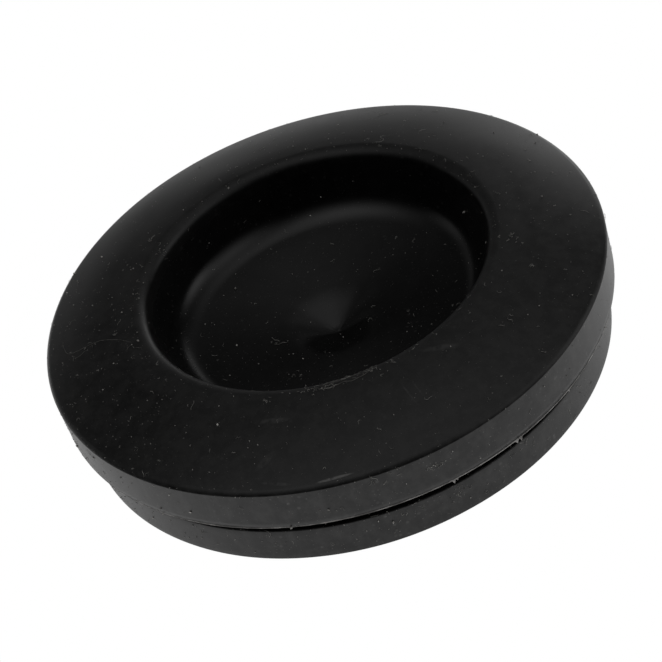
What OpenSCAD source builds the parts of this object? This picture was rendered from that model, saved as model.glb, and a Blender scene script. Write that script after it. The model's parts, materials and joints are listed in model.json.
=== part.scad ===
// Closed panel grommet: one soft moulding that snaps into a round hole in a sheet.
// A thick top flange and a lower flange clip over the sheet, the groove between them
// holds it, and a thin dished floor with a dimple in its middle closes it.
// Millimetres, +Z up, origin at the centre of the underside.

/* [Flanges] */
// Diameter of the top flange
top_flange_d = 60; // [56:0.5:70]
// Height of the straight side of the top flange
top_side_h = 4.45; // [3:0.05:6]
// Diameter of the lower flange
lower_flange_d = 57.6; // [54:0.1:60]
// Height of the lower flange
lower_flange_h = 4.1; // [3:0.05:5.5]

/* [Groove] */
// Diameter at the bottom of the groove, which is the size of the panel hole
groove_d = 50; // [46:0.5:52]
// Width of the groove, for a sheet of about 1.5
groove_w = 1.8; // [1:0.05:3]

/* [Top face] */
// Radius of the round shoulder at the outer rim
rim_r = 1; // [0.6:0.05:1.8]
// Angle off upright at which the shoulder meets the side, along the mould's parting
rim_end = 30; // [0:1:40]
// Radius of the gently bulging face, in section
face_r = 48; // [35:1:120]
// Height of the inner lip above the edge of the side
lip_rise = 2.85; // [2:0.05:3.2]
// Diameter of the circle along the top of the inner lip
lip_d = 39; // [38:0.1:41]
// Radius of the rounded inner lip, in section
lip_r = 1.45; // [0.8:0.05:2.2]

/* [Recess] */
// Angle of the recess wall off upright
wall_draft = 18; // [4:1:26]
// Diameter at which the depth of the floor is measured
floor_d = 31.2; // [28:0.2:33]
// Depth of the floor there, below the edge of the side
floor_depth = 3.85; // [3.4:0.05:4.6]
// Slope of the dished floor
floor_slope = 9.5; // [7:0.5:12]
// Radius between floor and wall
fillet_r = 3.3; // [1:0.1:4]
// Thickness of the floor
floor_t = 2; // [1.4:0.1:2.2]

/* [Dimple] */
// Diameter of the steeper dimple in the middle of the floor
dimple_d = 9; // [6:0.5:11]
// Slope of the dimple's side
dimple_slope = 20; // [14:1:26]
// Radius of the soft edge round the dimple, in section
soft_edge_r = 12; // [4:1:16]
// Radius of the rounding at the dimple's point, in section
point_r = 2.5; // [1:0.5:5]

/* [Underside] */
// Diameter of the recess at the underside
under_d = 37; // [34:0.5:40]
// Radius between the underside of the floor and its wall
under_fillet_r = 1.5; // [0.8:0.1:1.8]
// Radius on the small outer edges
edge_r = 0.15; // [0.1:0.05:0.6]

/* [Hidden] */
$fn = 240;
RUBBER = [0.055, 0.055, 0.058];

// Radii and levels
TOP_R = top_flange_d / 2;
LOWER_R = lower_flange_d / 2;
GROOVE_R = groove_d / 2;
GROOVE_TOP = lower_flange_h + groove_w;
SIDE_TOP = GROOVE_TOP + top_side_h;

// Points are [distance from the axis, height].
function toward(angle) = [cos(angle), sin(angle)];
function cross2(a, b) = a[0] * b[1] - a[1] * b[0];

// Where two lines meet. Each is a point on the line and a direction.
function meet(p, u, q, v) = p + u * cross2(q - p, v) / cross2(u, v);

// The point below a and b, with b to the right of a, that is ra from a and rb from b
function point_below(a, ra, b, rb) =
    let (
        span = b - a,
        gap = norm(span),
        along = (gap * gap + ra * ra - rb * rb) / (2 * gap),
        across = sqrt(ra * ra - along * along)
    )
    a + (span * along + [span[1], -span[0]] * across) / gap;

// Centres of the lip and the shoulder, and of the bulging face that touches both
LIP_C = [lip_d / 2, SIDE_TOP + lip_rise - lip_r];
RIM_C = [TOP_R, SIDE_TOP] - rim_r * toward(rim_end);
FACE_C = point_below(LIP_C, face_r - lip_r, RIM_C, face_r - rim_r);
FACE_AT_LIP = (LIP_C - FACE_C) / norm(LIP_C - FACE_C);
FACE_AT_RIM = (RIM_C - FACE_C) / norm(RIM_C - FACE_C);

// Recess wall: its direction upward, the way it faces, and where it leaves the lip
WALL_UP = toward(90 - wall_draft);
WALL_OUT = toward(180 - wall_draft);
WALL_TOP = LIP_C + lip_r * WALL_OUT;

// Dished floor: its direction outward, the way it faces, and where the fillet meets it
FLOOR_ALONG = toward(floor_slope);
FLOOR_OUT = toward(90 + floor_slope);
FLOOR_POINT = [floor_d / 2, SIDE_TOP - floor_depth];
FILLET_C = meet(WALL_TOP + fillet_r * WALL_OUT, WALL_UP, FLOOR_POINT + fillet_r * FLOOR_OUT, FLOOR_ALONG);
FILLET_WALL = FILLET_C - fillet_r * WALL_OUT;
FILLET_FLOOR = FILLET_C - fillet_r * FLOOR_OUT;

// Dimple: where its side leaves the floor, and its sharp point
DIMPLE_ALONG = toward(dimple_slope);
DIMPLE_OUT = toward(90 + dimple_slope);
DIMPLE_TOP = FLOOR_POINT - FLOOR_ALONG * (floor_d - dimple_d) / 2 / cos(floor_slope);
DIMPLE_TIP = DIMPLE_TOP - DIMPLE_ALONG * dimple_d / 2 / cos(dimple_slope);
POINT_C = DIMPLE_TIP + [0, point_r / cos(dimple_slope)];
POINT_END = POINT_C - point_r * DIMPLE_OUT;
SOFT_C = meet(DIMPLE_TOP - soft_edge_r * DIMPLE_OUT, DIMPLE_ALONG,
    DIMPLE_TOP - soft_edge_r * FLOOR_OUT, FLOOR_ALONG);

// The floor's underside is parallel to its top
UNDER_SOFT_R = soft_edge_r - floor_t;
UNDER_POINT_R = point_r + floor_t;
UNDER_POINT_END = POINT_C - UNDER_POINT_R * DIMPLE_OUT;
UNDER_WALL_UP = toward(90 + wall_draft);
UNDER_WALL_OUT = toward(180 + wall_draft);
UNDER_EDGE = [under_d / 2, 0];
UNDER_EDGE_C = meet(UNDER_EDGE - edge_r * UNDER_WALL_OUT, UNDER_WALL_UP, [0, edge_r], [1, 0]);
UNDER_FILLET_C = meet(UNDER_EDGE + under_fillet_r * UNDER_WALL_OUT, UNDER_WALL_UP,
    FLOOR_POINT - (floor_t + under_fillet_r) * FLOOR_OUT, FLOOR_ALONG);
UNDER_FILLET_WALL = UNDER_FILLET_C - under_fillet_r * UNDER_WALL_OUT;
UNDER_FILLET_FLOOR = UNDER_FILLET_C + under_fillet_r * FLOOR_OUT;

// A disc in the section
module disc(at, r) {
    translate(at) circle(r = r);
}

// The solid in section, with each round stretch cut straight across at its centre
module straight_section() {
    polygon([
        [0, UNDER_POINT_END[1]],
        UNDER_POINT_END,
        SOFT_C + UNDER_SOFT_R * DIMPLE_OUT,
        SOFT_C + UNDER_SOFT_R * FLOOR_OUT,
        UNDER_FILLET_FLOOR,
        UNDER_FILLET_C,
        UNDER_FILLET_WALL,
        UNDER_EDGE_C + edge_r * UNDER_WALL_OUT,
        UNDER_EDGE_C,
        [UNDER_EDGE_C[0], 0],
        [LOWER_R - edge_r, 0],
        [LOWER_R - edge_r, edge_r],
        [LOWER_R, edge_r],
        [LOWER_R, lower_flange_h - edge_r],
        [LOWER_R - edge_r, lower_flange_h - edge_r],
        [LOWER_R - edge_r, lower_flange_h],
        [GROOVE_R, lower_flange_h],
        [GROOVE_R, GROOVE_TOP],
        [TOP_R, GROOVE_TOP],
        [TOP_R, SIDE_TOP],
        RIM_C,
        LIP_C,
        WALL_TOP,
        FILLET_WALL,
        FILLET_C,
        FILLET_FLOOR,
        SOFT_C + soft_edge_r * FLOOR_OUT,
        SOFT_C + soft_edge_r * DIMPLE_OUT,
        POINT_END,
        [0, POINT_END[1]]
    ]);
}

// The bulging face, between the lip and the shoulder
module face_section() {
    intersection() {
        disc(FACE_C, face_r);
        polygon([
            LIP_C,
            LIP_C + 2 * lip_r * FACE_AT_LIP,
            RIM_C + 2 * lip_r * FACE_AT_RIM,
            RIM_C
        ]);
    }
}

// The rim's shoulder, which stops at the side
module shoulder_section() {
    intersection() {
        disc(RIM_C, rim_r);
        translate([0, GROOVE_TOP]) square(TOP_R);
    }
}

// The soft edge of the dimple: an arc of this radius, in a band as deep as the floor
module soft_edge_section(r) {
    band = floor_t / 2;
    intersection() {
        disc(SOFT_C, r);
        polygon([
            SOFT_C + (r - band) * DIMPLE_OUT,
            SOFT_C + (r + band) * DIMPLE_OUT,
            SOFT_C + (r + band) * FLOOR_OUT,
            SOFT_C + (r - band) * FLOOR_OUT
        ]);
    }
}

// The rounding of the dimple's point on the underside of the floor
module under_point_section() {
    intersection() {
        disc(POINT_C, UNDER_POINT_R);
        square([UNDER_POINT_END[0], UNDER_POINT_END[1] + floor_t / 2]);
    }
}

// The rounding of the dimple's point on top of the floor
module point_hollow_section() {
    intersection() {
        disc(POINT_C, point_r);
        square([POINT_END[0], POINT_END[1] + floor_t]);
    }
}

// The closed panel grommet, turned round its axis
module grommet() {
    color(RUBBER) rotate_extrude() difference() {
        union() {
            straight_section();
            face_section();
            shoulder_section();
            soft_edge_section(soft_edge_r);
            under_point_section();
            disc(LIP_C, lip_r);
            disc(UNDER_EDGE_C, edge_r);
            disc([LOWER_R - edge_r, edge_r], edge_r);
            disc([LOWER_R - edge_r, lower_flange_h - edge_r], edge_r);
        }
        point_hollow_section();
        soft_edge_section(UNDER_SOFT_R);
        disc(FILLET_C, fillet_r);
        disc(UNDER_FILLET_C, under_fillet_r);
    }
}

grommet();
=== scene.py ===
import json
from math import cos, pi, radians, sin, sqrt, tau

import bpy
import numpy as np
from bpy.props import FloatProperty, FloatVectorProperty, IntProperty, PointerProperty
from mathutils import Matrix, Vector


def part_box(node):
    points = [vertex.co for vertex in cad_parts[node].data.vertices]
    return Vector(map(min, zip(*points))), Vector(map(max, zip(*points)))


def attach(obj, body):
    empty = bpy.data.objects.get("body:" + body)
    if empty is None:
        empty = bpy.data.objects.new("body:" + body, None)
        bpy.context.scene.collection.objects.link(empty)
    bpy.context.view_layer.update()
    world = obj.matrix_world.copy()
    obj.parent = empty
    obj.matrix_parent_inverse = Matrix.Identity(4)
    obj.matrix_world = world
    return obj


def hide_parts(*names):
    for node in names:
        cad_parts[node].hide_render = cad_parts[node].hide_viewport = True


bl_info = {
    "name": "Closed Panel Grommet",
    "version": (1, 0, 0),
    "blender": (4, 5, 0),
    "location": "3D View > Sidebar > Grommet",
    "description": "Dresses the packed grommet as dusty black moulded rubber and lights it on a pale table",
    "category": "Add Mesh",
}

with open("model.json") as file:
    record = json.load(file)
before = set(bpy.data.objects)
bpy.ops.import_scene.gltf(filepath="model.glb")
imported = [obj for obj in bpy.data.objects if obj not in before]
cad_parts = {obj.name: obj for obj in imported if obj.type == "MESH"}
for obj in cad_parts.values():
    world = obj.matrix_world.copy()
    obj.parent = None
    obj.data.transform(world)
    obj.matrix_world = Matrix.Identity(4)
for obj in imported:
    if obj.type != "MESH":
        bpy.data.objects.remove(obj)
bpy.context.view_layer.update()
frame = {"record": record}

MM = 0.001
NODE = "grommet"
BODY = "root"
LOW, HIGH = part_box(NODE)
GROOVE = next(mount for mount in frame["record"]["mounts"] if mount["name"] == "panel_groove")["dims"]

# Columns of points round the axis: the body, the finer grid that the dust is drawn from, flash and table
BODY_COLUMNS = 540
DUST_COLUMNS = 600
FLASH_COLUMNS = 2400
TABLE_COLUMNS = 96


# ---------------------------------------------------------------- sizes, colours and light


def size(name, description, default, low=0.0, high=0.1):
    """A length in metres that a user may change."""
    return FloatProperty(name=name, description=description, default=default, min=low, max=high,
                         precision=5, subtype="DISTANCE", unit="LENGTH")


def turn(name, description, degrees):
    """An angle that a user may change, with its default given in degrees."""
    return FloatProperty(name=name, description=description, default=radians(degrees),
                         subtype="ANGLE", unit="ROTATION")


def share(name, description, default, high=1.0):
    """A plain factor."""
    return FloatProperty(name=name, description=description, default=default, min=0.0, max=high, precision=4)


def tint(name, description, default):
    """A linear colour."""
    return FloatVectorProperty(name=name, description=description, default=default, size=3,
                               min=0.0, max=1.0, subtype="COLOR")


class GrommetForm(bpy.types.PropertyGroup):
    """The section that is turned round the axis."""
    top_r: size("Top flange radius", "Radius of the top flange", HIGH.x)
    lower_r: size("Lower flange radius", "Radius of the lower flange", 28.8 * MM)
    lower_h: size("Lower flange height", "Height of the lower flange", 4.1 * MM)
    groove_r: size("Groove radius", "Radius at the bottom of the groove", GROOVE["r_mm"] * MM)
    groove_w: size("Groove width", "Width of the groove", GROOVE["length_mm"] * MM)
    rim_r: size("Shoulder radius", "Radius of the round shoulder at the outer rim", 1.0 * MM)
    rim_end: turn("Shoulder end", "Angle off upright at which the shoulder meets the side", 30)
    face_r: size("Face radius", "Radius of the bulging face, in section", 48 * MM)
    lip_rise: size("Lip rise", "Height of the inner lip above the edge of the side", 2.85 * MM)
    lip_at: size("Lip place", "Radius of the circle along the top of the lip", 19.5 * MM)
    lip_r: size("Lip radius", "Radius of the rounded inner lip, in section", 1.45 * MM)
    draft: turn("Wall draft", "Angle of the recess wall off upright", 18)
    floor_at: size("Floor place", "Radius at which the depth of the floor is measured", 15.6 * MM)
    depth: size("Floor depth", "Depth of the floor there, below the edge of the side", 3.85 * MM)
    slope: turn("Floor slope", "Slope of the dished floor", 9.5)
    fillet_r: size("Fillet radius", "Radius between floor and wall", 3.3 * MM)
    floor_t: size("Floor thickness", "Thickness of the floor", 2 * MM)
    dimple_at: size("Dimple radius", "Radius of the steeper dimple in the middle of the floor", 4.5 * MM)
    dimple_slope: turn("Dimple slope", "Slope of the dimple's side", 20)
    soft_edge_r: size("Soft edge radius", "Radius of the soft edge round the dimple, in section", 12 * MM)
    point_r: size("Point radius", "Radius of the rounding at the dimple's point", 2.5 * MM)
    under_r: size("Under radius", "Radius of the hollow at the underside", 18.5 * MM)
    under_fillet_r: size("Under fillet", "Radius between the floor's underside and its wall", 1.5 * MM)
    edge_r: size("Edge radius", "Radius on the small outer edges", 0.15 * MM)
    bevel: size("Bevel", "Width of the small bevel along the top flange's lower edge", 0.04 * MM)
    bevel_h: size("Bevel height", "Height of that bevel", 0.04 * MM)
    waver: size("Waver", "How far the moulded surface wavers", 0.012 * MM)


class GrommetFinish(bpy.types.PropertyGroup):
    """The black rubber's colour and gloss."""
    black: tint("Rubber", "Colour of the clean rubber", (0.0015, 0.0015, 0.0015))
    bloom: tint("Bloom", "Colour of the pale bloom and fine dust", (0.12, 0.118, 0.115))
    gloss: share("Roughness", "Roughness of the clean rubber", 0.33)
    ior: share("IOR", "Refractive index of the rubber's skin", 1.42, 2.0)
    grain: size("Grain", "Size of the fine grain", 0.16 * MM)
    grain_depth: size("Grain depth", "Depth of the fine grain", 0.004 * MM)


class GrommetDust(bpy.types.PropertyGroup):
    """Dust, lint and the mould's flash."""
    specks: IntProperty(name="Specks", description="Number of dust specks", default=3900, min=0)
    fibres: IntProperty(name="Fibres", description="Number of scattered lint fibres", default=380, min=0)
    seed: IntProperty(name="Seed", description="Seed of every random draw", default=11)
    speck_r: size("Speck radius", "Usual radius of a dust speck", 0.022 * MM)
    fibre_l: size("Fibre length", "Usual length of a lint fibre", 0.55 * MM)
    fibre_r: size("Fibre radius", "Radius of a lint fibre", 0.016 * MM)
    flash_w: size("Flash width", "How far the flash stands out below the top flange", 0.02 * MM)
    # The flash's paleness is partly dust and partly a painted glint along the top flange's lower edge
    flash_dust_and_glint_tint: tint("Flash colour", "Colour of the dusty flash", (0.36, 0.35, 0.34))
    speck_tint: tint("Speck colour", "Colour of the dust specks", (0.62, 0.60, 0.57))
    fibre_tint: tint("Fibre colour", "Colour of the lint", (0.50, 0.49, 0.46))


class GrommetStage(bpy.types.PropertyGroup):
    """The camera, the table and the soft light."""
    aim_x: size("Aim X", "Where the camera looks, at the rim's level", -0.609 * MM, -0.1)
    aim_y: size("Aim Y", "Where the camera looks, at the rim's level", -8.273 * MM, -0.1)
    distance: size("Distance", "From the aim to the camera", 185.1 * MM, 0, 2)
    azimuth: turn("Azimuth", "Camera's turn round the part, from the front towards +X", 0.244)
    elevation: turn("Elevation", "Camera's height above the table as an angle", 39.714)
    roll: turn("Roll", "Camera's turn round its own line of sight", -19.559)
    lens: FloatProperty(name="Lens", description="Focal length in millimetres", default=100.0)
    table: tint("Table", "Colour of the pale table", (0.8, 0.8, 0.8))
    table_glow: share("Table glow", "Light that the bright table gives off", 0.55, 2.0)


# Tufts of lint: angle round the axis in degrees; distance from the axis, height, spread of the tuft and
# length of its fibres in millimetres; number of fibres
TUFTS = (
    (-115, 20.0, 13.1, 0.3, 0.5, 4),
    (-104, 19.3, 13.1, 0.5, 0.35, 10),
    (-100, 19.2, 13.1, 0.5, 0.4, 14),
    (-96, 19.1, 13.1, 0.5, 0.45, 22),
    (-92, 19.1, 13.1, 0.5, 0.4, 16),
    (-88, 19.0, 13.1, 0.5, 0.4, 14),
    (-84.5, 19.1, 13.1, 0.4, 0.45, 16),
    (-78, 19.1, 13.1, 0.5, 0.35, 6),
    (-71, 19.2, 13.1, 0.6, 0.35, 6),
    (180, 25.6, 11.9, 1.0, 0.5, 8),
    (176, 16.0, 7.3, 0.8, 0.3, 6),
    (-176, 15.2, 6.6, 0.7, 0.3, 5),
    (178, 13.2, 6.1, 0.8, 0.3, 4),
    (-129, 8.9, 5.4, 1.0, 0.4, 4),
    (145, 18.2, 12.4, 0.5, 0.3, 5),
    (143, 18.8, 12.9, 0.7, 0.35, 10),
    (139, 20.5, 13.1, 0.7, 0.4, 6),
    (-20, 20.6, 13.1, 0.6, 0.5, 6),
    (-173, 6.7, 5.0, 1.0, 0.5, 5),
    (-93, 30.0, 9.9, 0.25, 0.3, 6),
    (-91, 30.0, 9.0, 0.9, 0.4, 5),
    (-82, 30.0, 9.0, 0.5, 0.5, 8),
    (-78, 28.8, 3.0, 1.4, 0.4, 16),
    (-87, 28.8, 3.4, 1.2, 0.35, 8),
    (-92, 28.8, 3.0, 1.2, 0.4, 10),
    (-131, 28.8, 3.0, 1.4, 0.4, 9),
    (-65, 28.8, 3.0, 1.0, 0.4, 8),
)

# Long threads of lint on the top: angle round the axis in degrees and distance from it in millimetres
THREADS = (
    ((173, 28), (176.5, 27.2), (179, 26.5), (180, 25.3), (179, 23.8), (180, 22.6), (184.4, 22), (188, 20)),
    ((180, 25.3), (181, 26), (180.3, 26.8)),
    ((190.3, 21.2), (188.8, 20.6), (191, 20.2), (192, 19.6)),
    ((-101, 19.8), (-98, 19.5), (-95, 19.9), (-91, 19.3), (-87, 19.6), (-83, 19.2)),
)

# Faint wipe marks on the top, and one painted highlight streak on the near shoulder: place as x and y in
# millimetres, direction in degrees, half length and half width in millimetres, strength
WIPES_AND_HIGHLIGHT = (
    (-8.6, -20.8, -19, 2.1, 0.38, 0.55),
    (-10.3, -24.6, 22, 1.6, 0.45, 0.45),
    (-10.1, -27.2, -28, 1.7, 0.22, 0.8),
    # Painted highlight: this entry is no wipe but the near shoulder's highlight streak, painted pale
    (-4.8, -28.95, -7, 2.1, 0.17, 3.2),
    (8.8, -19.2, -10, 2.4, 0.45, 0.5),
    (4.4, -23.4, -74, 1.5, 0.12, 0.6),
    (5.3, -23.0, -76, 1.2, 0.10, 0.5),
)

# The side of the top that has the most dust, as an angle round the axis
DUSTY_SIDE = radians(-175)

# Torn tags of flash: angle round the axis and half width in degrees, and how far each hangs down
TAGS = (
    (-79.2, 0.22, 0.45 * MM),
    (-78.5, 0.15, 0.25 * MM),
    (-65.3, 0.30, 0.40 * MM),
    (-64.3, 0.20, 0.50 * MM),
    (-50.5, 0.20, 0.25 * MM),
)

# The flash's section, point by point: its place outward as a share of the reach, its height above the
# flash's own level in millimetres, and the share of a torn tag's fall that it takes
FLASH_SECTION = (
    (-1.0, 0.08, 0.0),
    (0.3, 0.06, 0.1),
    (1.0, 0.0, 0.9),
    (0.8, -0.04, 1.0),
    (-3.0, -0.10, 0.7),
)

# Slow wavers of the moulded surface: wavelength along the section, phase, and lowest wave number round the
# axis, with the count of sines that each sums there
WAVERS = ((7 * MM, 0.4, 2), (11 * MM, 2.1, 5), (17 * MM, 4.0, 1))
WAVER_SINES = 4

# How much dust each kind of place holds, on top of what every place holds
DUST_EVERYWHERE = 0.35
DUST_FACING_UP = 0.5
DUST_ON_LIP = 0.7
DUST_INSIDE_LIP = 1.5
DUST_ON_EDGE = 1.3
DUST_ON_LOWER_FLANGE = 0.6
DUST_ON_LEFT = 1.3
DUST_MISSING_IN_MIDDLE = 0.6
DUST_SHARE_ON_STEEP_WALL = 0.15


# ---------------------------------------------------------------- section geometry


def toward(angle):
    """The unit vector [distance from the axis, height] at an angle in radians."""
    return np.array([cos(angle), sin(angle)])


def meet(p, u, q, v):
    """Where the line through p along u meets the line through q along v."""
    cross = lambda a, b: a[0] * b[1] - a[1] * b[0]
    return p + u * cross(q - p, v) / cross(u, v)


def point_below(a, ra, b, rb):
    """The point below a and b, with b to the right of a, that is ra from a and rb from b."""
    span = b - a
    gap = np.hypot(*span)
    along = (gap ** 2 + ra ** 2 - rb ** 2) / (2 * gap)
    across = sqrt(ra ** 2 - along ** 2)
    return a + (span * along + np.array([span[1], -span[0]]) * across) / gap


def angle_of(v):
    """The angle of a section vector in radians."""
    return float(np.arctan2(v[1], v[0]))


def straight(start, end, count):
    """count points from start towards end, evenly spaced, with the end left to the next stretch."""
    t = np.arange(count)[:, None] / count
    return np.asarray(start) * (1 - t) + np.asarray(end) * t


def arc(centre, radius, start, end, count):
    """count points of an arc from one angle towards the other, with the end left to the next stretch."""
    a = start + (end - start) * np.arange(count) / count
    return centre + radius * np.stack([np.cos(a), np.sin(a)], axis=1)


def section(f):
    """The section from the floor's middle over the lip, rim and groove to the underside's middle.

    Straight stretches and arcs follow each other, each tangent to the next where the moulding is round. The
    last number of each stretch is its count of points. Points a hair apart hold a sharp edge sharp.
    """
    right = pi / 2
    groove_top = f.lower_h + f.groove_w
    side_top = HIGH.z - f.lip_rise
    lip = np.array([f.lip_at, HIGH.z - f.lip_r])
    rim = np.array([f.top_r, side_top]) - f.rim_r * toward(f.rim_end)
    face = point_below(lip, f.face_r - f.lip_r, rim, f.face_r - f.rim_r)
    at_lip = angle_of(lip - face)
    at_rim = angle_of(rim - face)

    wall_up = toward(right - f.draft)
    wall_out = toward(pi - f.draft)
    wall_top = lip + f.lip_r * wall_out
    floor_along = toward(f.slope)
    floor_out = toward(right + f.slope)
    floor = np.array([f.floor_at, side_top - f.depth])
    fillet = meet(wall_top + f.fillet_r * wall_out, wall_up, floor + f.fillet_r * floor_out, floor_along)

    dimple_along = toward(f.dimple_slope)
    dimple_out = toward(right + f.dimple_slope)
    dimple = floor - floor_along * (f.floor_at - f.dimple_at) / cos(f.slope)
    tip = dimple - dimple_along * f.dimple_at / cos(f.dimple_slope)
    point = tip + np.array([0.0, f.point_r / cos(f.dimple_slope)])
    soft = meet(dimple - f.soft_edge_r * dimple_out, dimple_along,
                dimple - f.soft_edge_r * floor_out, floor_along)

    under_soft_r = f.soft_edge_r - f.floor_t
    under_point_r = f.point_r + f.floor_t
    under_up = toward(right + f.draft)
    under_out = toward(pi + f.draft)
    under_edge = meet(np.array([f.under_r, 0.0]) - f.edge_r * under_out, under_up,
                      np.array([0.0, f.edge_r]), toward(0))
    under_fillet = meet(np.array([f.under_r, 0.0]) + f.under_fillet_r * under_out, under_up,
                        floor - (f.floor_t + f.under_fillet_r) * floor_out, floor_along)

    bevel_top = groove_top + f.bevel_h
    bevel_in = f.top_r - f.bevel
    lower_edge = f.lower_r - f.edge_r
    hair = 0.03 * MM
    return np.concatenate([
        arc(point, f.point_r, -right, f.dimple_slope - right, 8)[1:],
        straight(point - f.point_r * dimple_out, soft + f.soft_edge_r * dimple_out, 6),
        arc(soft, f.soft_edge_r, right + f.dimple_slope, right + f.slope, 6),
        straight(soft + f.soft_edge_r * floor_out, fillet - f.fillet_r * floor_out, 14),
        arc(fillet, f.fillet_r, f.slope - right, -f.draft, 14),
        straight(fillet - f.fillet_r * wall_out, wall_top, 6),
        arc(lip, f.lip_r, pi - f.draft, at_lip, 14),
        arc(face, f.face_r, at_lip, at_rim, 20),
        arc(rim, f.rim_r, at_rim, f.rim_end, 9),
        [rim + f.rim_r * toward(f.rim_end + hair / f.rim_r)],
        [[f.top_r, side_top], [f.top_r, side_top - hair]],
        straight([f.top_r, side_top - 4 * hair], [f.top_r, bevel_top + 2 * hair], 7),
        straight([f.top_r, bevel_top + hair / 2], [bevel_in, groove_top + hair / 2], 4),
        [[bevel_in, groove_top + hair / 2], [bevel_in - hair / 2, groove_top]],
        straight([bevel_in - 4 * hair, groove_top], [f.groove_r + hair, groove_top], 5),
        [[f.groove_r, groove_top - hair]],
        straight([f.groove_r, groove_top - 4 * hair], [f.groove_r, f.lower_h + hair], 3),
        [[f.groove_r + hair, f.lower_h]],
        straight([f.groove_r + 4 * hair, f.lower_h], [lower_edge, f.lower_h], 5),
        arc(np.array([lower_edge, f.lower_h - f.edge_r]), f.edge_r, right, 0, 5),
        straight([f.lower_r, f.lower_h - f.edge_r], [f.lower_r, f.edge_r], 6),
        arc(np.array([lower_edge, f.edge_r]), f.edge_r, 0, -right, 5),
        straight([lower_edge, 0], [under_edge[0], 0], 4),
        arc(under_edge, f.edge_r, 3 * right, pi + f.draft, 4),
        straight(under_edge + f.edge_r * under_out, under_fillet - f.under_fillet_r * under_out, 3),
        arc(under_fillet, f.under_fillet_r, f.draft, right + f.slope, 6),
        straight(under_fillet + f.under_fillet_r * floor_out, soft + under_soft_r * floor_out, 8),
        arc(soft, under_soft_r, right + f.slope, right + f.dimple_slope, 4),
        straight(soft + under_soft_r * dimple_out, point - under_point_r * dimple_out, 4),
        arc(point, under_point_r, f.dimple_slope - right, -right, 5),
    ])


# ---------------------------------------------------------------- surfaces


def add_mesh(name, points, faces, material, smooth=True):
    """A mesh object at the origin from points (n, 3) and faces, a list of index arrays."""
    mesh = bpy.data.meshes.new(name)
    loops = np.concatenate([block.ravel() for block in faces])
    widths = np.concatenate([np.full(len(block), block.shape[1]) for block in faces])
    mesh.vertices.add(len(points))
    mesh.vertices.foreach_set("co", np.ascontiguousarray(points, np.float32).ravel())
    mesh.loops.add(len(loops))
    mesh.loops.foreach_set("vertex_index", loops.astype(np.int32))
    mesh.polygons.add(len(widths))
    mesh.polygons.foreach_set("loop_start", (np.cumsum(widths) - widths).astype(np.int32))
    mesh.polygons.foreach_set("use_smooth", np.full(len(widths), smooth))
    mesh.update(calc_edges=True)
    mesh.validate()
    mesh.materials.append(material)
    piece = bpy.data.objects.new(name, mesh)
    bpy.context.scene.collection.objects.link(piece)
    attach(piece, BODY)
    return piece


def grid_faces(rows, columns, wrap_rows=False):
    """Quads of a grid of points whose columns close on themselves, and its rows too if asked."""
    last = rows if wrap_rows else rows - 1
    i, j = np.meshgrid(np.arange(last), np.arange(columns), indexing="ij")
    down = (i + 1) % rows
    next_j = (j + 1) % columns
    corners = [i * columns + j, i * columns + next_j, down * columns + next_j, down * columns + j]
    return np.stack(corners, axis=-1).reshape(-1, 4)


def periodic(rng, angle, lowest, highest, count):
    """A sum of count sines round the axis with whole wave numbers, so that it closes, about 1 high."""
    waves = rng.integers(lowest, highest, count)
    phases = rng.uniform(0, tau, count)
    heights = rng.uniform(0.4, 1.0, count)
    total = (heights * np.sin(np.multiply.outer(angle, waves) + phases)).sum(axis=-1)
    return total / sqrt((heights ** 2).sum() / 2) / 2


def bell(away, width):
    """A bell curve: exp of minus (away / width) squared."""
    return np.exp(-((away / width) ** 2))


def turned_grid(f, columns, seed):
    """Points (rings, columns, 3) and unit normals of the section turned round the axis.

    A point is (r cos a, r sin a, z). It is shifted along its normal by a slow waver, a sum of products of a
    sine along the section and sines round the axis, as a soft moulding has. Its height is never below 0.
    """
    rng = np.random.default_rng(seed)
    line = section(f)
    along = np.gradient(line, axis=0)
    along /= np.hypot(*along.T)[:, None]
    outward = np.stack([-along[:, 1], along[:, 0]], axis=1)
    run = np.concatenate([[0.0], np.cumsum(np.hypot(*np.diff(line, axis=0).T))])
    angle = tau * np.arange(columns) / columns
    waver = sum(
        np.multiply.outer(np.sin(tau * run / wave + phase), periodic(rng, angle, low, low * 3, WAVER_SINES))
        for wave, phase, low in WAVERS
    )
    shift = f.waver * waver
    r = line[:, :1] + outward[:, :1] * shift
    z = np.maximum(line[:, 1:] + outward[:, 1:] * shift, 0.0)
    points = np.stack([r * np.cos(angle), r * np.sin(angle), z], axis=-1)
    normals = np.stack([
        np.multiply.outer(outward[:, 0], np.cos(angle)),
        np.multiply.outer(outward[:, 0], np.sin(angle)),
        np.repeat(outward[:, 1:], columns, axis=1),
    ], axis=-1)
    return points, normals


def turned_body(name, f, columns, seed, material):
    """The whole moulding: the turned grid, closed by one point and a fan at each end of the axis."""
    points, _ = turned_grid(f, columns, seed)
    rings = len(points)
    tip = points[0, :, 2].mean()
    base = points[-1, :, 2].mean()
    ends = np.array([[0, 0, tip], [0, 0, base]])
    j = np.arange(columns)
    after = (j + 1) % columns
    first, last = rings * columns, rings * columns + 1
    top_fan = np.stack([np.full(columns, first), after, j], axis=1)[:, ::-1]
    low = (rings - 1) * columns
    low_fan = np.stack([np.full(columns, last), low + j, low + after], axis=1)[:, ::-1]
    faces = [grid_faces(rings, columns)[:, ::-1], top_fan, low_fan]
    return add_mesh(name, np.concatenate([points.reshape(-1, 3), ends]), faces, material)


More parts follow.
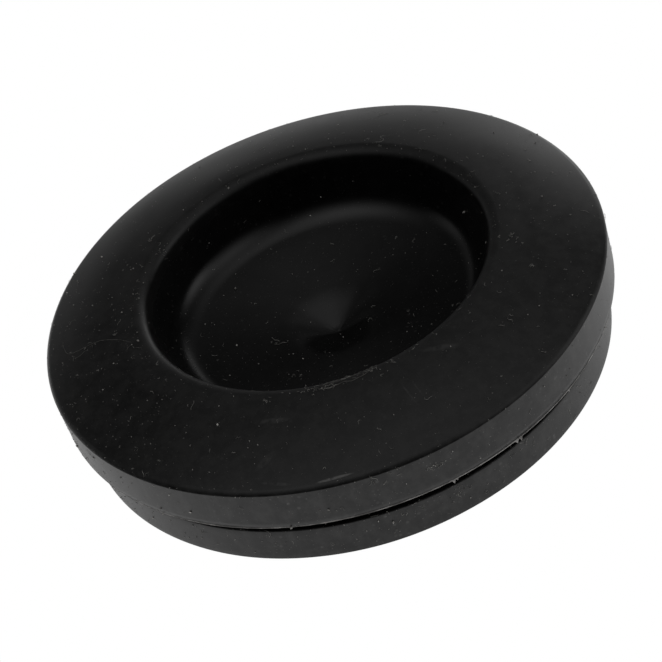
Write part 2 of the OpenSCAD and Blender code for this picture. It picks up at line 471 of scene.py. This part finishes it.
def flash_ring(name, radius, height, reach, seed, columns, material):
    """A thin ragged bead round the part: a section of a few points carried round a circle.

    The section is a low ridge that turns back under. Where it stands out, its reach varies round the axis as
    slow and fast sums of sines. Its lower points follow the fast one, and hang down by a bell curve at each
    torn tag.
    """
    rng = np.random.default_rng(seed)
    angle = tau * np.arange(columns) / columns
    slow = periodic(rng, angle, 3, 14, 6)
    fast = periodic(rng, angle, 90, 260, 14)
    least, usual, most = 0.2, 0.75, 1.4
    grow = np.clip(usual + 0.3 * slow + 0.2 * fast, least, most)
    unevenness = 0.015 * MM
    droop = unevenness * fast
    for centre, width, drop in TAGS:
        away = (np.degrees(angle) - centre + 180) % 360 - 180
        droop = droop - drop * bell(away, width)
    out, rise, hang = np.array(FLASH_SECTION).T[:, :, None]
    r = radius + reach * out * np.where(out > 0, grow, 1.0)
    z = height + rise * MM + hang * droop
    points = np.stack([r * np.cos(angle), r * np.sin(angle), z], axis=-1)
    return add_mesh(name, points.reshape(-1, 3), [grid_faces(len(out), columns, True)[:, ::-1]], material)


def random_turns(rng, count):
    """count random rotation matrices, each from a random unit quaternion."""
    q = rng.normal(size=(count, 4))
    w, x, y, z = (q / np.linalg.norm(q, axis=1)[:, None]).T
    return np.stack([
        1 - 2 * (y * y + z * z), 2 * (x * y - w * z), 2 * (x * z + w * y),
        2 * (x * y + w * z), 1 - 2 * (x * x + z * z), 2 * (y * z - w * x),
        2 * (x * z - w * y), 2 * (y * z + w * x), 1 - 2 * (x * x + y * y),
    ], axis=1).reshape(-1, 3, 3)


def scattered(rng, points, normals, count, liking):
    """count places and normals drawn from the turned grid, by each point's area times its liking."""
    rings, columns = points.shape[:2]
    step = np.gradient(points, axis=0)
    area = np.linalg.norm(step, axis=-1) * np.hypot(points[..., 0], points[..., 1])
    odds = (area * liking).ravel()
    pick = rng.choice(rings * columns, size=count, p=odds / odds.sum())
    shake = rng.uniform(-0.5, 0.5, (count, 1))
    place = points.reshape(-1, 3)[pick] + shake * step.reshape(-1, 3)[pick]
    spin = rng.uniform(-0.5, 0.5, count) * tau / columns
    x, y = place[:, 0].copy(), place[:, 1].copy()
    place[:, 0] = x * np.cos(spin) - y * np.sin(spin)
    place[:, 1] = x * np.sin(spin) + y * np.cos(spin)
    return place, normals.reshape(-1, 3)[pick]


def speck_cloud(name, place, normal, radius, rng, material):
    """Dust specks: an octahedron, stretched and turned at random, a little sunk at each place."""
    count = len(place)
    standing = 0.45
    solid = np.array([[1, 0, 0], [0, 1, 0], [0, 0, 1], [-1, 0, 0], [0, -1, 0], [0, 0, -1]], float)
    tri = np.array([[0, 1, 2], [1, 3, 2], [3, 4, 2], [4, 0, 2], [1, 0, 5], [3, 1, 5], [4, 3, 5], [0, 4, 5]])
    stretch = rng.uniform(0.55, 1.5, (count, 1, 3))
    local = solid * stretch * radius[:, None, None]
    turned = np.einsum("nij,nkj->nki", random_turns(rng, count), local)
    points = place[:, None] + standing * radius[:, None, None] * normal[:, None] + turned
    faces = tri + len(solid) * np.arange(count)[:, None, None]
    return add_mesh(name, points.reshape(-1, 3), [faces.reshape(-1, 3)], material, smooth=False)


def tubes(name, path, beside, normal, thick, material):
    """Thin three-sided tubes (count, knots) whose rings lie across each path and taper towards both ends."""
    count, knots = path.shape[:2]
    sides = 3
    t = np.linspace(0, 1, knots)
    tip_share, growth = 0.15, 3.5
    taper = thick * np.minimum(1, tip_share + growth * np.minimum(t, 1 - t))
    around = tau * np.arange(sides) / sides
    ring = (np.cos(around)[:, None] * beside[:, :, None]
            + np.sin(around)[:, None] * normal[:, :, None])
    points = path[:, :, None] + taper[:, None, None] * ring
    quads = grid_faces(knots, sides)
    ends = np.array([[0, 1, 2], [2, 1, 0]]) + np.array([[0], [(knots - 1) * sides]])
    offset = (knots * sides) * np.arange(count)[:, None, None]
    faces = [(quads + offset).reshape(-1, 4)[:, ::-1], (ends + offset).reshape(-1, 3)[:, ::-1]]
    return add_mesh(name, points.reshape(-1, 3), faces, material)


def fibre_tangle(name, place, normal, length, curl, radius, rng, material):
    """Lint: each fibre is a thin tube along a path that wanders over the surface.

    The heading at a share t of the length is its start, plus curl times t, plus one slow sine. The path is
    the running sum of the headings, and it lifts off the surface in a sine hump of up to a tenth of its
    length.
    """
    count, knots = len(place), 14
    t = np.linspace(0, 1, knots)
    bend = rng.uniform(0.3, 1.6, (count, 1)) * np.sin(
        tau * (t * rng.uniform(0.5, 1.6, (count, 1)) + rng.uniform(0, 1, (count, 1))))
    heading = rng.uniform(0, tau, (count, 1)) + curl[:, None] * t + bend
    step = length[:, None] / (knots - 1)
    askew = [0.31, 0.52, 0.79]
    across = np.cross(normal, askew)
    across /= np.linalg.norm(across, axis=1)[:, None]
    along = np.cross(normal, across)
    x = np.cumsum(np.cos(heading) * step, axis=1)
    y = np.cumsum(np.sin(heading) * step, axis=1)
    x -= x.mean(axis=1, keepdims=True)
    y -= y.mean(axis=1, keepdims=True)
    hump = 0.10 * length[:, None] * rng.uniform(0.05, 1.0, (count, 1)) * np.sin(pi * t)
    path = (place[:, None] + x[..., None] * across[:, None] + y[..., None] * along[:, None]
            + (hump + radius)[..., None] * normal[:, None])
    beside = -np.sin(heading)[..., None] * across[:, None] + np.cos(heading)[..., None] * along[:, None]
    lifted = np.repeat(normal[:, None], knots, axis=1)
    return tubes(name, path, beside, lifted, radius, material)


def lint_threads(name, form, radius, rng, material):
    """Long threads: each follows a smooth curve near its own turning points, with a small wander of sines.

    The curve is the least squares polynomial, of fourth order or lower, of angle and of distance.
    """
    top = section(form)
    rim = int(np.argmax(top[:, 0]))
    knots = 60
    highest_order = 4
    t = np.linspace(0, 1, knots)
    paths = []
    for marks in THREADS:
        angle, reach = np.array(marks, float).T
        share = np.linspace(0, 1, len(marks))
        order = min(highest_order, len(marks) - 1)
        a = np.polynomial.Polynomial.fit(share, np.radians(angle), order)(t)
        r = np.polynomial.Polynomial.fit(share, reach * MM, order)(t)
        for waves, sway in ((2.3, 0.10 * MM), (5.1, 0.05 * MM)):
            r = r + sway * np.sin(tau * (waves * t + rng.uniform()))
        height = np.interp(r, top[:rim, 0], top[:rim, 1])
        paths.append(np.stack([r * np.cos(a), r * np.sin(a), height + radius], axis=1))
    path = np.array(paths)
    ahead = np.gradient(path, axis=1)
    ahead /= np.linalg.norm(ahead, axis=2, keepdims=True)
    up = np.broadcast_to([0.0, 0.0, 1.0], path.shape)
    return tubes(name, path, np.cross(up, ahead), up, radius, material)


# ---------------------------------------------------------------- shader arithmetic


# Outlets of nodes, by number
DIRECTION = 0
OBJECT_PLACE = 3
IS_CAMERA_RAY = 0
PLAIN_NUMBER = 1
MIXED_COLOUR = 2

WHITE = (1.0, 1.0, 1.0, 1.0)


class Wire:
    """One output socket, so that shader maths reads as Python arithmetic. Each operator adds a Math node."""

    def __init__(self, shade, socket):
        self.shade = shade
        self.socket = socket

    def __add__(self, other):
        return self.shade.math("ADD", self, other)

    __radd__ = __add__

    def __mul__(self, other):
        return self.shade.math("MULTIPLY", self, other)

    __rmul__ = __mul__

    def __sub__(self, other):
        return self.shade.math("SUBTRACT", self, other)

    def __rsub__(self, other):
        return self.shade.math("SUBTRACT", other, self)

    def __truediv__(self, other):
        return self.shade.math("DIVIDE", self, other)

    def __pow__(self, other):
        return self.shade.math("POWER", self, other)


class Shade:
    """A node tree that is being filled."""

    def __init__(self, tree):
        self.tree = tree
        tree.nodes.clear()

    def node(self, kind, settings=None, outlet=0, **inlets):
        """A node of a type, with its settings and its sockets' values.

        A socket is given by its name with _ for a blank, or by its number after an i.
        """
        made = self.tree.nodes.new(kind)
        for key, value in (settings or {}).items():
            setattr(made, key, value)
        for key, value in inlets.items():
            numbered = key[0] == "i" and key[1:].isdigit()
            inlet = made.inputs[int(key[1:]) if numbered else key.replace("_", " ")]
            if isinstance(value, Wire):
                self.tree.links.new(value.socket, inlet)
            else:
                inlet.default_value = value
        return Wire(self, made.outputs[outlet])

    def math(self, operation, a, b=0.0):
        """One step of arithmetic."""
        return self.node("ShaderNodeMath", {"operation": operation}, i0=a, i1=b)

    def vector_math(self, operation, a, b=(0, 0, 0), outlet=0):
        """One step of vector arithmetic."""
        return self.node("ShaderNodeVectorMath", {"operation": operation}, outlet, i0=a, i1=b)

    def axes(self, vector):
        """The three parts of a vector."""
        first = self.node("ShaderNodeSeparateXYZ", Vector=vector)
        return [Wire(self, outlet) for outlet in first.socket.node.outputs]

    def ease(self, value, low, high, to_low=0.0, to_high=1.0):
        """A smooth step from to_low to to_high while the value goes from low to high."""
        settings = {"interpolation_type": "SMOOTHSTEP"}
        return self.node("ShaderNodeMapRange", settings, Value=value, From_Min=low, From_Max=high,
                         To_Min=to_low, To_Max=to_high)

    def noise(self, vector, scale, detail=2.0, roughness=0.5):
        """A soft noise of about 0 to 1, with a scale in waves a metre."""
        return self.node("ShaderNodeTexNoise", None, Vector=vector, Scale=scale, Detail=detail,
                         Roughness=roughness)

    def mix_colour(self, factor, a, b):
        """Colour a where the factor is 0, and b where it is 1."""
        return self.node("ShaderNodeMix", {"data_type": "RGBA"}, MIXED_COLOUR, i0=factor, i6=a, i7=b)


def rgba(colour):
    """A colour with full alpha."""
    return (*colour, 1.0)


def new_material(name):
    """A new material and its emptied node tree."""
    material = bpy.data.materials.new(name)
    material.use_nodes = True
    return material, Shade(material.node_tree)


# Noises on the rubber: scale in waves a metre, detail and roughness
CLOUDS = (110.0, 3.0)
MOTTLE = (700.0, 4.0, 0.7)
CROWDS = (230.0, 3.0, 0.6)
STREAKS = (900.0, 4.0, 0.65)
WEAR_AND_HIGHLIGHT_BREAKUP = (1500.0, 3.0, 0.6)
DOT_SCALE = 1900.0
BLOT_SCALE = 1000.0

# Where each zone of the rubber fades in or out, as shares of the part's radius, or of its height
RAISED = (0.58, 0.66)
LIP_BEGINS = (0.6, 0.64)
LIP_ENDS = (0.76, 0.66)
RECESS = (0.62, 0.58)
SIDE_BEGINS = (0.95, 0.955)
SIDE_TOP = (0.79, 0.78)
# Share of the bloom kept inside the recess: partly a cleaner recess, partly painted shade darkening it
BLOOM_IN_CLEAN_SHADED_RECESS = 0.2

# How far each kind of mark takes the rubber's colour towards the bloom's
PALE_HAZE = 0.085
PALE_MICRO = 0.16
PALE_WIPED_AND_HIGHLIGHT = 0.45
PALE_GRIME_ON_SIDE = 0.2
PALE_MICRO_ON_SIDE = 0.5

# How much each kind of mark and the lip add to the roughness, and how much the recess takes off
ROUGH_HAZE = 0.04
ROUGH_MICRO = 0.1
ROUGH_LIP = 0.2
SMOOTH_RECESS = 0.09


def rubber_finish(finish):
    """Satin black rubber, nearly black: mottled pale bloom, fine grain, micro dust, wipes and a painted
    highlight.

    The bloom is thinner inside the lip, partly for a cleaner recess and partly as painted shade; the lip is
    duller, the recess is smoother, and the side of the top flange has streaks of grime.
    """
    material, shade = new_material("black_rubber")
    place = shade.node("ShaderNodeTexCoord", None, OBJECT_PLACE)
    clouds = shade.noise(place, *CLOUDS)
    mottle = shade.noise(place, *MOTTLE)
    x, y, z = shade.axes(place)
    reach = (x * x + y * y) ** 0.5

    def ring(begin, end, *levels):
        """A smooth step over the distance from the axis, between two shares of the part's radius."""
        return shade.ease(reach, HIGH.x * begin, HIGH.x * end, *levels)

    # Less bloom in the recess: partly a cleaner recess, partly painted shade that keeps it dark
    thinned_in_clean_shaded_recess = ring(*RAISED, BLOOM_IN_CLEAN_SHADED_RECESS, 1.0)
    haze = (shade.ease(clouds, 0.35, 0.75) * 0.2 + shade.ease(mottle, 0.36, 0.64) * 0.8) * thinned_in_clean_shaded_recess
    dots = shade.node("ShaderNodeTexVoronoi", None, Vector=place, Scale=DOT_SCALE)
    blots = shade.node("ShaderNodeTexVoronoi", None, Vector=place, Scale=BLOT_SCALE)
    crowd = shade.ease(shade.noise(place, *CROWDS), 0.47, 0.62)
    micro = shade.ease(dots, 0.16, 0.05) + shade.ease(blots, 0.26, 0.06) * crowd * 0.6
    # Real wipe marks, and one painted highlight streak on the near shoulder, paled into the colour
    wiped_and_highlight = wipe_marks_and_highlight(shade, place) * shade.ease(shade.noise(place, *WEAR_AND_HIGHLIGHT_BREAKUP), 0.3, 0.7)
    flank = ring(*SIDE_BEGINS) * shade.ease(z, HIGH.z * SIDE_TOP[0], HIGH.z * SIDE_TOP[1])
    drawn_down = (1.0, 1.0, 0.35)
    streaks = shade.noise(shade.vector_math("MULTIPLY", place, drawn_down), *STREAKS)
    grime = shade.ease(streaks, 0.45, 0.75) * 0.6 + shade.ease(mottle, 0.4, 0.7) * 0.4
    on_side = flank * (grime * PALE_GRIME_ON_SIDE + micro * PALE_MICRO_ON_SIDE)
    pale = haze * PALE_HAZE + micro * PALE_MICRO + on_side + wiped_and_highlight * PALE_WIPED_AND_HIGHLIGHT
    colour = shade.mix_colour(pale, rgba(finish.black), rgba(finish.bloom))
    on_lip = ring(*LIP_BEGINS) * ring(*LIP_ENDS)
    sheltered = ring(*RECESS)
    marked = finish.gloss + haze * ROUGH_HAZE + micro * ROUGH_MICRO
    rough = marked + on_lip * ROUGH_LIP - sheltered * SMOOTH_RECESS
    fine = shade.noise(place, 1 / finish.grain, 2.0)
    bump = shade.node("ShaderNodeBump", None, Strength=1.0, Distance=finish.grain_depth, Height=fine)
    skin = shade.node("ShaderNodeBsdfPrincipled", None, Base_Color=colour, Roughness=rough, IOR=finish.ior,
                      Normal=bump)
    finish_tree(shade, skin)
    return material


def wipe_marks_and_highlight(shade, place):
    """How strongly each place on the top is marked by wipes, and by one painted highlight streak.

    Each mark is an ellipse with u along it and v across. It fades smoothly from its strength in the middle
    to nothing where u squared plus v squared is 1.
    """
    x, y, z = shade.axes(place)
    marks = 0.0
    for mark_x, mark_y, way, half_l, half_w, strength in WIPES_AND_HIGHLIGHT:
        c, s = cos(radians(way)), sin(radians(way))
        dx, dy = x - mark_x * MM, y - mark_y * MM
        u = (dx * c + dy * s) / (half_l * MM)
        v = (dy * c - dx * s) / (half_w * MM)
        marks = marks + strength * shade.ease(u * u + v * v, 1.0, 0.0)
    return marks * shade.ease(z, LOW.z, HIGH.z / 2)


def finish_tree(shade, surface, kind="ShaderNodeOutputMaterial"):
    """Joins a shader to the output of the material or the world."""
    end = shade.tree.nodes.new(kind)
    shade.tree.links.new(surface.socket, end.inputs["Surface"])


def fluff_finish(name, colour, scale):
    """Dust, lint and flash: dull, a little uneven in colour, with patches at a scale in waves a metre. The
    flash's pale is partly a painted glint.
    """
    material, shade = new_material(name)
    place = shade.node("ShaderNodeTexCoord", None, OBJECT_PLACE)
    patch = shade.noise(place, scale, 2.0)
    dimness = 0.4
    dim = tuple(dimness * part for part in colour)
    tone = shade.mix_colour(shade.ease(patch, 0.35, 0.65), rgba(dim), rgba(colour))
    surface = shade.node("ShaderNodeBsdfPrincipled", None, Base_Color=tone, Roughness=0.9, IOR=1.3)
    finish_tree(shade, surface)
    return material


def table_finish(stage):
    """The pale table: it lights the part from below, and looks plain white without any shadow."""
    material, shade = new_material("pale_table")
    lit = shade.node("ShaderNodeBsdfPrincipled", None, Base_Color=rgba(stage.table), Roughness=0.6,
                     Emission_Color=WHITE, Emission_Strength=stage.table_glow)
    plain = shade.node("ShaderNodeEmission", None, Color=WHITE, Strength=1.0)
    seen = shade.node("ShaderNodeLightPath", None, IS_CAMERA_RAY)
    finish_tree(shade, shade.node("ShaderNodeMixShader", None, i0=seen, i1=lit, i2=plain))
    return material


# ---------------------------------------------------------------- light


# Soft lights far round the part: azimuth from behind towards the right, elevation and spread in degrees, and
# brightness
ROOM = (
    ("high back", 0, 68, 18, 0.08),
    ("high right", 60, 68, 18, 0.4),
    ("high front left", -120, 68, 18, 0.76),
    ("front right window", 120, 42, 14, 0.65),
    ("low right window", 90, 20, 10, 1.05),
    ("left wall", -60, 20, 10, 0.35),
    ("back left wall", -30, 20, 10, 0.1),
    ("back right wall", 30, 20, 10, 0.12),
    ("back left wall foot", -30, 6, 8, 0.3),
    ("back wall foot", 0, 6, 8, 0.35),
    ("back right wall foot", 30, 6, 8, 2.25),
)

# How bright the far room looks to the camera
WALL_SEEN = 0.9

# The camera's sensor in millimetres, and how near and far it sees in metres
SENSOR_WIDTH = 36
NEAR_LIMIT = 0.01
FAR_LIMIT = 20

TABLE_R = 1.5


def room_light(world):
    """Light by direction.

    Each soft light adds its brightness times exp of (the direction's dot product with its centre, minus 1)
    over its spread squared. The camera itself sees the far room as plain and pale.
    """
    world.use_nodes = True
    shade = Shade(world.node_tree)
    way = shade.node("ShaderNodeTexCoord", None, DIRECTION)
    light = 0.0
    for _, azimuth, elevation, spread, brightness in ROOM:
        az, el = radians(azimuth), radians(elevation)
        centre = (sin(az) * cos(el), cos(az) * cos(el), sin(el))
        facing = shade.vector_math("DOT_PRODUCT", way, centre, PLAIN_NUMBER)
        light = light + brightness * shade.math("EXPONENT", (facing - 1) / radians(spread) ** 2)
    seen = shade.node("ShaderNodeLightPath", None, IS_CAMERA_RAY)
    total = light * (1 - seen) + seen * WALL_SEEN
    back = shade.node("ShaderNodeBackground", None, Color=WHITE, Strength=total)
    finish_tree(shade, back, "ShaderNodeOutputWorld")


def add_camera(stage):
    """The camera on its line of sight, turned about it by the roll."""
    camera = bpy.data.objects.new("view_camera", bpy.data.cameras.new("view_camera"))
    bpy.context.scene.collection.objects.link(camera)
    side_top = HIGH.z - bpy.context.scene.grommet_form.lip_rise
    aim = Vector((stage.aim_x, stage.aim_y, side_top))
    flat = cos(stage.elevation)
    away = Vector((sin(stage.azimuth) * flat, -cos(stage.azimuth) * flat, sin(stage.elevation)))
    moved = Matrix.Translation(aim + stage.distance * away)
    turned = (-away).to_track_quat("-Z", "Y").to_matrix().to_4x4()
    camera.matrix_world = moved @ turned @ Matrix.Rotation(stage.roll, 4, "Z")
    camera.data.lens = stage.lens
    camera.data.sensor_width = SENSOR_WIDTH
    camera.data.clip_start = NEAR_LIMIT
    camera.data.clip_end = FAR_LIMIT
    bpy.context.scene.camera = camera


def add_table(stage):
    """The table top: a wide flat disc of one ring of points, facing up."""
    angle = tau * np.arange(TABLE_COLUMNS) / TABLE_COLUMNS
    level = np.zeros(TABLE_COLUMNS)
    points = np.stack([TABLE_R * np.cos(angle), TABLE_R * np.sin(angle), level], axis=1)
    mesh = bpy.data.meshes.new("table")
    mesh.from_pydata(points.tolist(), [], [list(range(TABLE_COLUMNS))])
    mesh.materials.append(table_finish(stage))
    table = bpy.data.objects.new("table", mesh)
    bpy.context.scene.collection.objects.link(table)


# ---------------------------------------------------------------- operators


# What is added to the seed, so that each random draw is its own
FLASH_DRAW, SPECK_DRAW, LINT_DRAW, SPECK_PATCH_DRAW, LINT_PATCH_DRAW = 1, 2, 3, 4, 5

# Scale in waves a metre of the uneven colour of flash, dust and lint
FLASH_PATCHES = 900.0
DUST_PATCHES = 2500.0
LINT_PATCHES = 1200.0

# Specks on upright places are coarser by this factor
COARSE = 1.5

# How much the specks' radii, the fibres' lengths and the fibres' curls vary
SPECK_SPREAD = 0.55
FIBRE_SPREAD = 0.5
CURL_SPREAD = 2.2


class GROMMET_OT_rubber(bpy.types.Operator):
    """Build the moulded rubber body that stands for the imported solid"""
    bl_idname = "grommet.rubber"
    bl_label = "Rubber body"

    def execute(self, context):
        scene = context.scene
        rubber = rubber_finish(scene.grommet_finish)
        seed = scene.grommet_dust.seed
        body = turned_body("grommet_rubber", scene.grommet_form, BODY_COLUMNS, seed, rubber)
        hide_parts(NODE)
        return {"FINISHED"}


class GROMMET_OT_flash(bpy.types.Operator):
    """Build the thin flash that the mould left along the top flange's lower edge"""
    bl_idname = "grommet.flash"
    bl_label = "Mould flash"

    def execute(self, context):
        form, dust = context.scene.grommet_form, context.scene.grommet_dust
        # The flash's pale colour is partly dust and partly a painted glint along the edge
        material = fluff_finish("dusty_flash_painted_glint", dust.flash_dust_and_glint_tint, FLASH_PATCHES)
        groove_top = form.lower_h + form.groove_w
        height = groove_top + 2 * form.bevel_h
        flash = flash_ring("mould_flash", form.top_r, height, dust.flash_w, dust.seed + FLASH_DRAW,
                           FLASH_COLUMNS, material)
        return {"FINISHED"}


def dust_liking(form, points, normals, seed):
    """How much dust each point of the turned grid holds, in patches.

    It is more where it faces up, along the lip and just inside it, along the rim's sharp edge, on the lower
    flange and on the left of the top, and less in the middle of the floor and on the steep wall of the
    recess. The patches are exp of a sum of products of a sine along the section and sines round the axis,
    and most of the other places are bell curves of distance or height.
    """
    rng = np.random.default_rng(seed)
    angle = np.arctan2(points[0, :, 1], points[0, :, 0])
    ring = np.arange(len(points)) / len(points)
    coarse = np.multiply.outer(np.sin(tau * 9 * ring), periodic(rng, angle, 5, 30, 6))
    fine = np.multiply.outer(np.cos(tau * 17 * ring), periodic(rng, angle, 9, 50, 8))
    patch = np.exp(0.7 * coarse + 0.5 * fine)
    r = np.hypot(points[..., 0], points[..., 1])
    z = points[..., 2]
    up = normals[..., 2]
    inside_lip = 0.6 * MM
    lip = bell(r - form.lip_at, 1.2 * MM) * (up > 0.5)
    inner = bell(r - form.lip_at + inside_lip, 0.3 * MM) * (z > HIGH.z - 0.8 * MM)
    edge = bell(z - HIGH.z + form.lip_rise, 0.12 * MM) * (r > form.top_r - form.rim_r)
    low = (z < form.lower_h) & (r > form.groove_r)
    shown = (z > 0.3 * MM) & (up > -0.3)
    facing = np.clip(up, 0, 1)
    left = bell(np.cos(angle - DUSTY_SIDE) - 1, 0.25) * (r > form.lip_at)
    middle = bell(r, 8 * MM)
    held = (DUST_EVERYWHERE + DUST_FACING_UP * facing + DUST_ON_LIP * lip + DUST_INSIDE_LIP * inner
            + DUST_ON_EDGE * edge + DUST_ON_LOWER_FLANGE * low + DUST_ON_LEFT * left
            - DUST_MISSING_IN_MIDDLE * middle)
    steep = (r < form.lip_at - inside_lip) & (facing < 0.7)
    return held * patch * shown * np.where(steep, DUST_SHARE_ON_STEEP_WALL, 1.0)


class GROMMET_OT_dust(bpy.types.Operator):
    """Scatter dust specks over the rubber"""
    bl_idname = "grommet.dust"
    bl_label = "Dust specks"

    def execute(self, context):
        form, dust = context.scene.grommet_form, context.scene.grommet_dust
        rng = np.random.default_rng(dust.seed + SPECK_DRAW)
        points, normals = turned_grid(form, DUST_COLUMNS, dust.seed)
        liking = dust_liking(form, points, normals, dust.seed + SPECK_PATCH_DRAW)
        place, normal = scattered(rng, points, normals, dust.specks, liking)
        coarse = np.where(normal[:, 2] < 0.5, COARSE, 1.0)
        radius = dust.speck_r * coarse * np.exp(SPECK_SPREAD * rng.normal(size=dust.specks))
        material = fluff_finish("dust", dust.speck_tint, DUST_PATCHES)
        speck_cloud("dust_specks", place, normal, radius, rng, material)
        return {"FINISHED"}


class GROMMET_OT_lint(bpy.types.Operator):
    """Lay curled lint fibres on the rubber: scattered ones, tufts and a few long threads"""
    bl_idname = "grommet.lint"
    bl_label = "Lint fibres"

    def execute(self, context):
        form, dust = context.scene.grommet_form, context.scene.grommet_dust
        rng = np.random.default_rng(dust.seed + LINT_DRAW)
        points, normals = turned_grid(form, DUST_COLUMNS, dust.seed)
        liking = dust_liking(form, points, normals, dust.seed + LINT_PATCH_DRAW)
        spots = [scattered(rng, points, normals, dust.fibres, liking)]
        usual = [np.full(dust.fibres, dust.fibre_l)]
        for angle, r, height, spread, length, count in TUFTS:
            a = radians(angle)
            centre = MM * np.array([r * cos(a), r * sin(a), height])
            near = np.exp(-((points - centre) ** 2).sum(axis=-1) / (spread * MM) ** 2)
            spots.append(scattered(rng, points, normals, count, near))
            usual.append(np.full(count, length * MM))
        place = np.concatenate([spot[0] for spot in spots])
        normal = np.concatenate([spot[1] for spot in spots])
        length = np.concatenate(usual) * np.exp(FIBRE_SPREAD * rng.normal(size=len(place)))
        curl = rng.normal(size=len(place)) * CURL_SPREAD
        lint = fluff_finish("lint", dust.fibre_tint, LINT_PATCHES)
        fibre_tangle("lint_fibres", place, normal, length, curl, dust.fibre_r, rng, lint)
        lint_threads("lint_threads", form, dust.fibre_r, rng, lint)
        return {"FINISHED"}


class GROMMET_OT_stage(bpy.types.Operator):
    """Set the table, the soft light and the camera"""
    bl_idname = "grommet.stage"
    bl_label = "Stage"

    def execute(self, context):
        scene = context.scene
        add_table(scene.grommet_stage)
        scene.world = scene.world or bpy.data.worlds.new("room")
        room_light(scene.world)
        add_camera(scene.grommet_stage)
        scene.view_settings.view_transform = "Standard"
        scene.view_settings.look = "None"
        scene.view_settings.exposure = 0.0
        scene.view_settings.gamma = 1.0
        return {"FINISHED"}


class GROMMET_PT_panel(bpy.types.Panel):
    """Buttons for each piece, in the order in which they are built"""
    bl_label = "Closed panel grommet"
    bl_idname = "GROMMET_PT_panel"
    bl_space_type = "VIEW_3D"
    bl_region_type = "UI"
    bl_category = "Grommet"

    def draw(self, context):
        for operator in OPERATORS:
            self.layout.operator(operator.bl_idname)


GROUPS = {
    "grommet_form": GrommetForm,
    "grommet_finish": GrommetFinish,
    "grommet_dust": GrommetDust,
    "grommet_stage": GrommetStage,
}
OPERATORS = (GROMMET_OT_rubber, GROMMET_OT_flash, GROMMET_OT_dust, GROMMET_OT_lint, GROMMET_OT_stage)


def register():
    """Registers every class and hangs each group of properties on the scene."""
    for cls in (*GROUPS.values(), *OPERATORS, GROMMET_PT_panel):
        bpy.utils.register_class(cls)
    for name, group in GROUPS.items():
        setattr(bpy.types.Scene, name, PointerProperty(type=group))


def unregister():
    """Undoes register."""
    for name in GROUPS:
        delattr(bpy.types.Scene, name)
    for cls in reversed((*GROUPS.values(), *OPERATORS, GROMMET_PT_panel)):
        bpy.utils.unregister_class(cls)


def main():
    register()
    bpy.ops.grommet.rubber()
    bpy.ops.grommet.flash()
    bpy.ops.grommet.dust()
    bpy.ops.grommet.lint()
    bpy.ops.grommet.stage()


if __name__ == "__main__":
    main()
